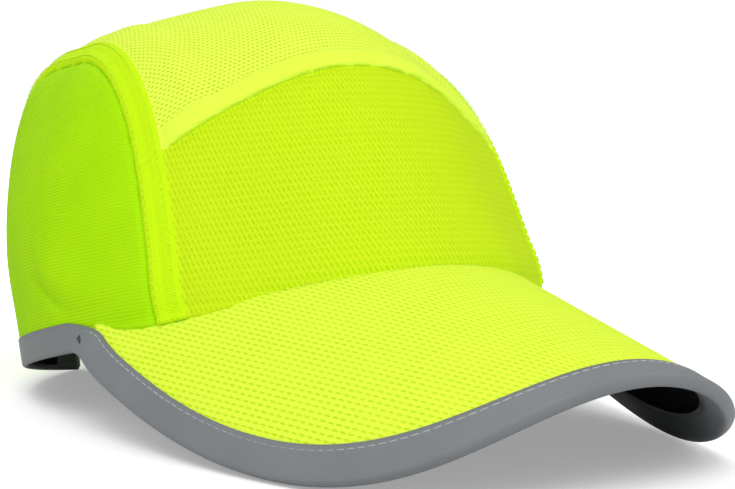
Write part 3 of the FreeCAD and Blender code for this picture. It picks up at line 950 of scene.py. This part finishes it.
def turn_outwards(mesh):
    """Faces the tape away from the crown's middle at its rearmost face."""
    made = bmesh.new()
    made.from_mesh(mesh)
    bmesh.ops.recalc_face_normals(made, faces=made.faces)
    rearmost = max(made.faces, key=lambda face: face.calc_center_median().y)
    outward = rearmost.calc_center_median() - stand((0, 0, 40))
    if outward.dot(rearmost.normal) < 0:
        bmesh.ops.reverse_faces(made, faces=made.faces)
    made.to_mesh(mesh)
    made.free()


class CAP_OT_edge_tape(bpy.types.Operator):
    """Build the reflective tape around the visor and the hem, with its stitching"""
    bl_idname = "cap.edge_tape"
    bl_label = "Edge tape"

    def execute(self, context):
        stations = tape_stations()
        mesh = bpy.data.meshes.new("edge_tape")
        points = [tuple(stand(point)) for line in stations for point in line]
        mesh.from_pydata(points, [], grid_faces(len(stations), len(stations[0])))
        mesh.validate()
        turn_outwards(mesh)
        grey = tape_finish("reflective_tape", tuple(cap_colours().tape))
        tape = finish_piece("edge_tape", mesh, grey,
                            ["visor_binding", "hem_binding_right", "hem_binding_left"])
        wall = tape.modifiers.new("tape", "SOLIDIFY")
        wall.thickness = 0.3 * MM
        wall.offset = 1
        thread = cloth_finish("grey_thread", (0.52, 0.54, 0.55), 0.3)
        line = [station[0] * 0.3 + station[1] * 0.7 + Vector((0, 0, 0.3)) for station in stations]
        stitch_row("tape_stitches", [line], 2.9, 2.1, 0.2, thread)
        return {"FINISHED"}


def seam_line(side, shift, start, end, count=140):
    """Points of the crown along a line parallel to a side seam."""
    points = []
    for index in range(count):
        back = start + (end - start) * index / (count - 1)
        low, high = 0.0, math.pi / 2
        for _ in range(SEARCH_STEPS):
            middle = (low + high) / 2
            spot = crown_ray(side * middle, back)
            if side_distance(spot) > shift:
                high = middle
            else:
                low = middle
        spot = crown_ray(side * low, back)
        if spot.z > 4 and on_visor(spot)[2] > 1:
            points.append(spot + crown_normal(spot) * (relief(spot) + 0.2))
    return points


def crown_ray(roll, back):
    """Crown point reached from the crown's middle, rolled to one side and swung from front to back."""
    aim = Vector((math.sin(roll), math.cos(roll) * math.sin(back), math.cos(roll) * math.cos(back)))
    near, far = 0.0, 180.0
    for _ in range(SEARCH_STEPS):
        middle = (near + far) / 2
        if inside_crown(CROWN_MIDDLE + aim * middle):
            near = middle
        else:
            far = middle
    return CROWN_MIDDLE + aim * near


def within(point, height, inset=0.0):
    """Whether a point stands inside the crown's outline at a height."""
    c = crown_sizes()
    shifted = point.y - c.lean * height
    edge = crown_point(math.atan2(point.x, -shifted), height, inset)
    return math.hypot(point.x, shifted) < math.hypot(edge.x, edge.y - c.lean * height)


def inside_crown(point):
    return point.z < crown_sizes().height and within(point, point.z)


def crown_normal(point):
    """Outward direction of the plain crown at a point."""
    c = crown_sizes()
    turn = math.atan2(point.x, -(point.y - c.lean * point.z))
    height = min(point.z, c.height - 1)
    around = crown_point(turn + 0.01, height) - crown_point(turn - 0.01, height)
    up = crown_point(turn, height + 0.3) - crown_point(turn, height - 0.3)
    return around.cross(up).normalized()


class CAP_OT_seam_stitches(bpy.types.Operator):
    """Lay the cover stitches along the crown's seam bands"""
    bl_idname = "cap.seam_stitches"
    bl_label = "Seam stitches"

    def execute(self, context):
        thread = cloth_finish("yellow_thread", (0.66, 0.93, 0.03), 0.3, 0.05)
        lines = []
        for side in SIDES:
            for shift in STITCH_SHIFTS:
                lines.append(seam_line(side, shift, *STITCH_SWING))
        stitch_row("seam_stitches", lines, 2.4, 1.7, 0.16, thread)
        return {"FINISHED"}


def band_faces():
    """Outer and inner grids of the sweatband, swollen towards its middle."""
    c = crown_sizes()
    end = math.pi - math.asin(c.band_gap / c.rear_reach)
    turns = [-end + 2 * end * index / 180 for index in range(181)]
    bottoms = []
    for turn in turns:
        low = seam_height(turn) - BAND_DROP if math.cos(turn) > 0 else 0
        bottoms.append(max(low, BAND_BOTTOM))
    grids = []
    for inset, bulge in ((BAND_OUT, 0), (BAND_IN, BAND_SWELL)):
        grid = []
        for row in range(9):
            share = row / 8
            deep = inset - bulge * abs(2 * share - 1) ** 3
            grid.append([crown_point(turn, low + (BAND_TOP - low) * share, deep)
                         for turn, low in zip(turns, bottoms)])
        grids.append(grid)
    return grids


def rim_pad_faces(centre, half, rows=13, columns=37):
    """Outer and inner grids of a pad at the shell's rim, with soft edges."""
    outer, inner = [], []
    for row in range(rows):
        share = row / (rows - 1)
        height = PAD_LOW + (PAD_HIGH - PAD_LOW) * share
        soft = min(1, 5 * min(share, 1 - share) + 0.35)
        outer.append([])
        inner.append([])
        for column in range(columns):
            across = column / (columns - 1)
            rim = soft * min(1, 9 * min(across, 1 - across) + 0.35)
            turn = centre + half * (2 * across - 1)
            outer[-1].append(crown_point(turn, height, PAD_OUT))
            inner[-1].append(crown_point(turn, height, PAD_OUT + (PAD_IN - PAD_OUT) * rim ** 0.5))
    return outer, inner


def crown_pad_faces(count=33):
    """Outer and inner grids of the round pad under the shell's top."""
    c = crown_sizes()
    outer, inner = [], []
    for row in range(count):
        outer.append([])
        inner.append([])
        for column in range(count):
            a, b = 2 * row / (count - 1) - 1, 2 * column / (count - 1) - 1
            x = a * math.sqrt(1 - b * b / 2) * CROWN_PAD_RADIUS
            y = b * math.sqrt(1 - a * a / 2) * CROWN_PAD_RADIUS
            rim = min(1, 3.2 * (1 - math.hypot(x, y) / CROWN_PAD_RADIUS) + 0.3) ** 0.5
            y += c.lean * c.height
            outer[-1].append(roof_point(x, y, PAD_OUT))
            inner[-1].append(roof_point(x, y, PAD_OUT + (PAD_IN - PAD_OUT) * rim))
    return outer, inner


def roof_point(x, y, inset):
    """Point of an inner crown surface straight above a place near the top."""
    low, high = 40.0, crown_sizes().height - inset
    for _ in range(SEARCH_STEPS):
        middle = (low + high) / 2
        if within(Vector((x, y, middle)), middle, inset):
            low = middle
        else:
            high = middle
    return Vector((x, y, low))


class CAP_OT_inside(bpy.types.Operator):
    """Build the sweatband and the foam pads of the insert"""
    bl_idname = "cap.inside"
    bl_label = "Sweatband and pads"

    def execute(self, context):
        lining = cloth_finish("sweatband_cloth", tuple(cap_colours().lining), 1.1)
        band = slab_piece("sweatband_sleeve", *band_faces(), lining, "sweatband_cloth", ["sweatband"])
        foam = foam_finish("eva_foam", (0.03, 0.03, 0.034))
        pads = {
            "front_pad": rim_pad_faces(0.0, 0.47),
            "rear_pad": rim_pad_faces(math.pi, 0.37),
            "side_pad_right": rim_pad_faces(-1.72, 0.40),
            "side_pad_left": rim_pad_faces(1.72, 0.40),
            "crown_pad": crown_pad_faces(),
        }
        for name, faces in pads.items():
            pad = slab_piece(name + "_foam", *faces, foam, "foam", [name], "insert")
        return {"FINISHED"}


class CAP_OT_fittings(bpy.types.Operator):
    """Finish the shell, buckle, webbing, tapes and dots"""
    bl_idname = "cap.fittings"
    bl_label = "Fittings"

    def execute(self, context):
        colours = cap_colours()
        shell = plastic_finish("shell_plastic", tuple(colours.shell), 1400, 0.45)
        buckle = plastic_finish("buckle_plastic", tuple(colours.shell), 2400, 0.38)
        steel = plastic_finish("pin_steel", (0.55, 0.56, 0.58), 3000, 0.3, 1.0)
        webbing = cloth_finish("webbing", (0.42, 0.70, 0.01), 1.6, 0.04)
        tape = cloth_finish("woven_tape", (0.50, 0.80, 0.02), 1.0, 0.05)
        pile = cloth_finish("pile", (0.02, 0.02, 0.022), 0.6)
        board = plastic_finish("board_plastic", (0.05, 0.05, 0.05), 800, 0.6)
        finishes = {
            "bump_shell": shell, "buckle_frame": buckle, "buckle_lever": buckle, "lever_pin": steel,
            "strap_long": webbing, "strap_loop": webbing, "rear_arch_binding": tape,
            "front_seam_tape": tape, "side_seam_tape_right": tape, "side_seam_tape_left": tape,
            "hook_dots": pile, "loop_dots": pile, "visor_board": board,
        }
        for name, material in finishes.items():
            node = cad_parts[name]
            node.data.materials.clear()
            node.data.materials.append(material)
        return {"FINISHED"}


def lay_table():
    mesh = bpy.data.meshes.new("table")
    corners = [(x * TABLE_REACH, y * TABLE_REACH, 0) for x, y in ((-1, -1), (1, -1), (1, 1), (-1, 1))]
    mesh.from_pydata(corners, [], [(0, 1, 2, 3)])
    mesh.materials.append(table_finish())
    table = bpy.data.objects.new("table", mesh)
    bpy.context.scene.collection.objects.link(table)


def light_sky():
    """White sky of full strength where it is seen, and of less where it lights the cap."""
    world = bpy.data.worlds.new("studio")
    bpy.context.scene.world = world
    world.use_nodes = True
    tree = world.node_tree
    sky = tree.nodes["Background"]
    sky.inputs["Color"].default_value = (1, 1, 1, 1)
    path = tree.nodes.new("ShaderNodeLightPath")
    white = tree.nodes.new("ShaderNodeMath")
    white.operation = "MAXIMUM"
    tree.links.new(path.outputs["Is Camera Ray"], white.inputs[0])
    tree.links.new(path.outputs["Is Transmission Ray"], white.inputs[1])
    seen = tree.nodes.new("ShaderNodeMath")
    seen.operation = "MULTIPLY_ADD"
    tree.links.new(white.outputs[0], seen.inputs[0])
    seen.inputs[1].default_value = 1 - SKY_LIGHT
    seen.inputs[2].default_value = SKY_LIGHT
    tree.links.new(seen.outputs[0], sky.inputs["Strength"])


def hang_lamp(name, place, size, power):
    """Soft square lamp turned towards the cap."""
    light = bpy.data.lights.new(name, "AREA")
    light.size = size
    light.energy = power
    made = bpy.data.objects.new(name, light)
    made.location = place
    aim = LAMP_AIM - Vector(place)
    made.rotation_euler = aim.to_track_quat("-Z", "Y").to_euler()
    bpy.context.scene.collection.objects.link(made)


def place_camera():
    right = CAMERA_AHEAD.cross(CAMERA_UP).normalized()
    up = right.cross(CAMERA_AHEAD).normalized()
    camera = bpy.data.objects.new("camera", bpy.data.cameras.new("camera"))
    bpy.context.scene.collection.objects.link(camera)
    turn = Matrix((right, up, -CAMERA_AHEAD)).transposed().to_4x4()
    camera.matrix_world = Matrix.Translation(CAMERA_PLACE * MM) @ turn
    camera.data.sensor_width = SENSOR
    camera.data.sensor_fit = "HORIZONTAL"
    camera.data.lens = SENSOR * FOCAL_PIXELS / PICTURE_WIDTH
    camera.data.clip_start = 0.01
    bpy.context.scene.camera = camera


class CAP_OT_stage(bpy.types.Operator):
    """Set the table, the lights and the camera"""
    bl_idname = "cap.stage"
    bl_label = "Stage"

    def execute(self, context):
        context.scene.view_settings.view_transform = "Standard"
        lay_table()
        light_sky()
        for lamp in LAMPS:
            hang_lamp(*lamp)
        place_camera()
        return {"FINISHED"}


def table_finish():
    """White table that keeps the cap's soft shadow and turns plain white away from it."""
    finish = Finish("table_white", (0.9, 0.9, 0.9), 1.0, specular=0.0)
    x, y, _ = finish.place()
    away = finish.math("SQRT", x * x + y * y)
    seen = finish.node("ShaderNodeLightPath", output="Is Camera Ray")
    start, run = TABLE_FADE
    factor = seen * (TABLE_GLOW + finish.limit((away - start) / run) * (1 - TABLE_GLOW))
    dark = finish.node("ShaderNodeEmission", {}, {"Color": (0, 0, 0, 1), "Strength": 0.0})
    glow = finish.node("ShaderNodeEmission", {}, {"Color": (1, 1, 1, 1), "Strength": 1.0})
    mixed = finish.node("ShaderNodeMixShader", {}, {0: factor, 1: dark, 2: glow})
    added = finish.node("ShaderNodeAddShader", {}, {1: mixed})
    finish.tree.links.new(finish.shader.outputs[0], added.socket.node.inputs[0])
    finish.tree.links.new(added.socket, finish.tree.nodes["Material Output"].inputs["Surface"])
    return finish.material


STEPS = (
    CAP_OT_stage, CAP_OT_crown, CAP_OT_visor, CAP_OT_edge_tape, CAP_OT_seam_stitches, CAP_OT_inside,
    CAP_OT_fittings,
)


class CAP_PT_panel(bpy.types.Panel):
    """Buttons that build the cap"""
    bl_label = "Bump Cap"
    bl_idname = "CAP_PT_panel"
    bl_space_type = "VIEW_3D"
    bl_region_type = "UI"
    bl_category = "Bump Cap"

    def draw(self, context):
        for operator in STEPS:
            self.layout.operator(operator.bl_idname)


GROUPS = {
    "cap_crown": CrownSizes,
    "cap_relief": ReliefSizes,
    "cap_visor": VisorSizes,
    "cap_colours": CapColours,
}
CLASSES = (*GROUPS.values(), *STEPS, CAP_PT_panel)


def register():
    for kind in CLASSES:
        bpy.utils.register_class(kind)
    for name, kind in GROUPS.items():
        setattr(bpy.types.Scene, name, bpy.props.PointerProperty(type=kind))


def unregister():
    for name in GROUPS:
        delattr(bpy.types.Scene, name)
    for kind in reversed(CLASSES):
        bpy.utils.unregister_class(kind)


def main():
    register()
    for operator in STEPS:
        group, name = operator.bl_idname.split(".")
        getattr(getattr(bpy.ops, group), name)()
    bpy.context.view_layer.update()


if __name__ == "__main__":
    main()
